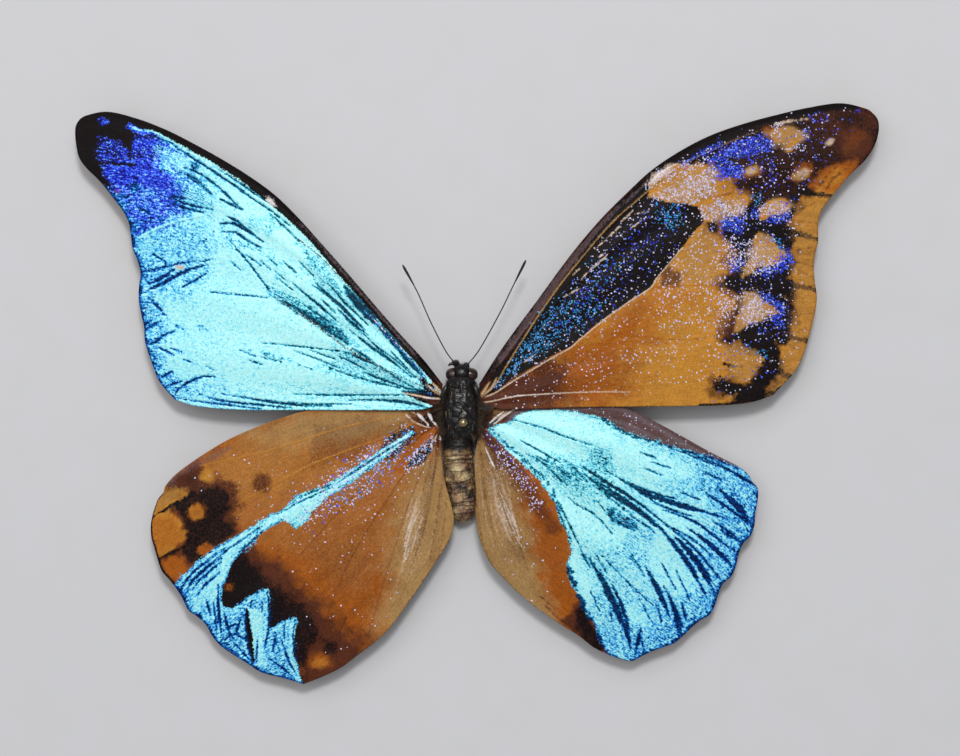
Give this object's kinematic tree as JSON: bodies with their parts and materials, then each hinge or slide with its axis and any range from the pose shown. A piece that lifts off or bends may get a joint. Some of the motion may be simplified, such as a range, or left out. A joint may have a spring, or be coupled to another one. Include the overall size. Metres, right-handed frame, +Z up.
{
  "type": "mounted butterfly specimen",
  "caption": "Spread dried butterfly on a brass-headed pin, with mosaic wings partly metallic blue and partly orange-brown, resting on its legs and the pin's foot",
  "frame": {"origin": "the middle of the pin's flat foot, on the surface that the specimen rests on", "axes": "+Z up from the surface, +Y towards the head, +X to the right seen from above with the head away"},
  "size_m": [0.1399, 0.1011, 0.0121],
  "materials": {
    "blue_scales": "metallic, pleated",
    "brown_scales": "matt, with fine veins",
    "dark_cuticle": "dark, hairy, slightly shiny",
    "brown_cuticle": "matt, hairy",
    "eye": "smooth gloss",
    "brass": "polished"
  },
  "bodies": {
    "root": {"thorax": "dark_cuticle", "head": "dark_cuticle", "eye_left": "eye", "eye_right": "eye", "abdomen": "brown_cuticle", "palp_left": "dark_cuticle", "palp_right": "dark_cuticle", "tongue": "dark_cuticle", "antenna_left": "dark_cuticle", "antenna_right": "dark_cuticle", "foreleg_left": "dark_cuticle", "foreleg_right": "dark_cuticle", "midleg_left": "dark_cuticle", "midleg_right": "dark_cuticle", "hindleg_left": "dark_cuticle", "hindleg_right": "dark_cuticle", "forewing_left": "blue_scales", "forewing_right": "brown_scales", "hindwing_left": "brown_scales", "hindwing_right": "blue_scales", "pin": "brass"}
  },
  "joints": []
}
